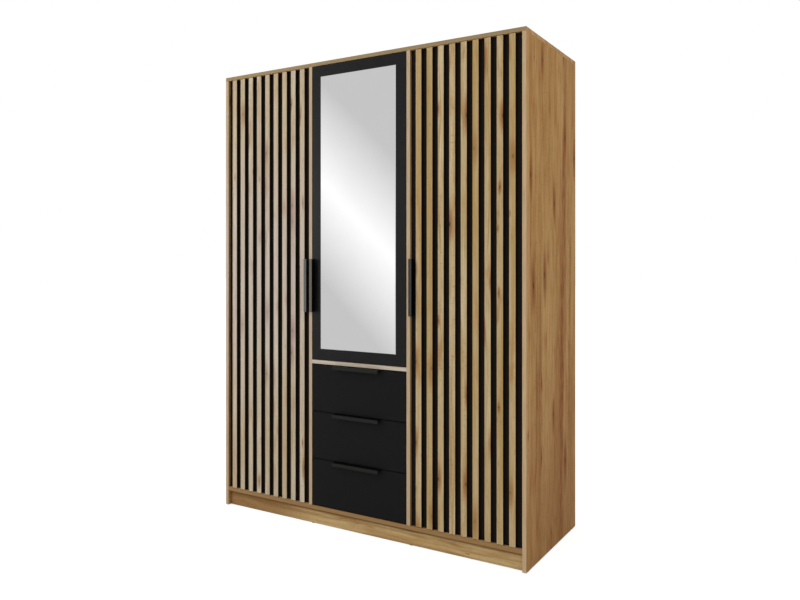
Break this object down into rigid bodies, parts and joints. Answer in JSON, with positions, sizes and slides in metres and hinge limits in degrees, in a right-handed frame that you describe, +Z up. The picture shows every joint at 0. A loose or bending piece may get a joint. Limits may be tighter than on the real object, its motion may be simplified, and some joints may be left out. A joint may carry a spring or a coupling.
{
  "type": "wardrobe with doors",
  "caption": "Wardrobe in oak decor with slatted hinged doors, a mirror door and drawers on slides, with shelves and a hanging rail inside.",
  "frame": {"origin": "on the floor, in the middle of the outline, handles included", "axes": "+Z up; the doors face -Y; +X to the right as seen from the front"},
  "size_m": [1.5, 0.594, 2.01],
  "materials": {
    "oak_decor": "matt oak-decor melamine, knotty grain",
    "black_board": "matt black melamine",
    "black_handle": "matt black powder coat",
    "mirror_glass": "silvered float glass, ground edge",
    "zinc_steel": "zinc-plated",
    "chrome_rail": "polished",
    "drawer_board": "light grey melamine",
    "hardboard": "smooth lacquered hardboard",
    "black_plastic": "moulded"
  },
  "bodies": {
    "carcass": {"side_left": "oak_decor", "side_right": "oak_decor", "top_panel": "oak_decor", "bottom_panel": "oak_decor", "partition_left": "oak_decor", "partition_right": "oak_decor", "middle_shelf": "oak_decor", "back_panels": "hardboard", "plinth_front": "oak_decor", "plinth_rear": "oak_decor", "hat_shelf": "oak_decor", "loose_shelves_middle": "oak_decor", "loose_shelves_right": "oak_decor", "hanging_rail": "chrome_rail", "rail_brackets": "zinc_steel", "shelf_pins": "zinc_steel", "hinge_arms": "zinc_steel", "hinge_plates": "zinc_steel", "floor_glides": "black_plastic", "wall_brackets": "zinc_steel", "carcass_screws": "zinc_steel", "cam_locks": "zinc_steel", "drawer_1_slide_outer": "zinc_steel", "drawer_2_slide_outer": "zinc_steel", "drawer_3_slide_outer": "zinc_steel"},
    "left_door": {"left_door_panel": "black_board", "left_door_slats": "oak_decor", "left_door_handle": "black_handle", "left_door_hinge_cups": "zinc_steel"},
    "mirror_door": {"mirror_door_panel": "black_board", "mirror_glass": "mirror_glass", "mirror_door_handle": "black_handle", "mirror_door_hinge_cups": "zinc_steel"},
    "right_door": {"right_door_panel": "black_board", "right_door_slats": "oak_decor", "right_door_handle": "black_handle", "right_door_hinge_cups": "zinc_steel"},
    "drawer_1": {"drawer_1_front": "black_board", "drawer_1_handle": "black_handle", "drawer_1_sides": "drawer_board", "drawer_1_ends": "drawer_board", "drawer_1_bottom": "hardboard", "drawer_1_slide_inner": "zinc_steel"},
    "drawer_1_slide_members": {"drawer_1_slide_middle": "zinc_steel"},
    "drawer_2": {"drawer_2_front": "black_board", "drawer_2_handle": "black_handle", "drawer_2_sides": "drawer_board", "drawer_2_ends": "drawer_board", "drawer_2_bottom": "hardboard", "drawer_2_slide_inner": "zinc_steel"},
    "drawer_2_slide_members": {"drawer_2_slide_middle": "zinc_steel"},
    "drawer_3": {"drawer_3_front": "black_board", "drawer_3_handle": "black_handle", "drawer_3_sides": "drawer_board", "drawer_3_ends": "drawer_board", "drawer_3_bottom": "hardboard", "drawer_3_slide_inner": "zinc_steel"},
    "drawer_3_slide_members": {"drawer_3_slide_middle": "zinc_steel"}
  },
  "joints": [
    {"name": "left_door_hinge", "type": "hinge", "parent": "carcass", "child": "left_door", "pos_m": [-0.712, -0.2535, 0.086], "axis": [0, 0, -1], "range_deg": [0, 95]},
    {"name": "mirror_door_hinge", "type": "hinge", "parent": "carcass", "child": "mirror_door", "pos_m": [0.21733, -0.2655, 0.703], "axis": [0, 0, 1], "range_deg": [0, 95]},
    {"name": "right_door_hinge", "type": "hinge", "parent": "carcass", "child": "right_door", "pos_m": [0.712, -0.2535, 0.086], "axis": [0, 0, 1], "range_deg": [0, 95]},
    {"name": "drawer_1_slide", "type": "slide", "parent": "carcass", "child": "drawer_1", "axis": [0, -1, 0], "range_m": [0, 0.42]},
    {"name": "drawer_1_slide_members", "type": "slide", "parent": "carcass", "child": "drawer_1_slide_members", "axis": [0, -1, 0], "range_m": [0, 0.21]},
    {"name": "drawer_2_slide", "type": "slide", "parent": "carcass", "child": "drawer_2", "axis": [0, -1, 0], "range_m": [0, 0.42]},
    {"name": "drawer_2_slide_members", "type": "slide", "parent": "carcass", "child": "drawer_2_slide_members", "axis": [0, -1, 0], "range_m": [0, 0.21]},
    {"name": "drawer_3_slide", "type": "slide", "parent": "carcass", "child": "drawer_3", "axis": [0, -1, 0], "range_m": [0, 0.42]},
    {"name": "drawer_3_slide_members", "type": "slide", "parent": "carcass", "child": "drawer_3_slide_members", "axis": [0, -1, 0], "range_m": [0, 0.21]}
  ],
  "couplings": [
    {"joint": "drawer_1_slide_members", "follows": "drawer_1_slide", "ratio": 0.5},
    {"joint": "drawer_2_slide_members", "follows": "drawer_2_slide", "ratio": 0.5},
    {"joint": "drawer_3_slide_members", "follows": "drawer_3_slide", "ratio": 0.5}
  ]
}
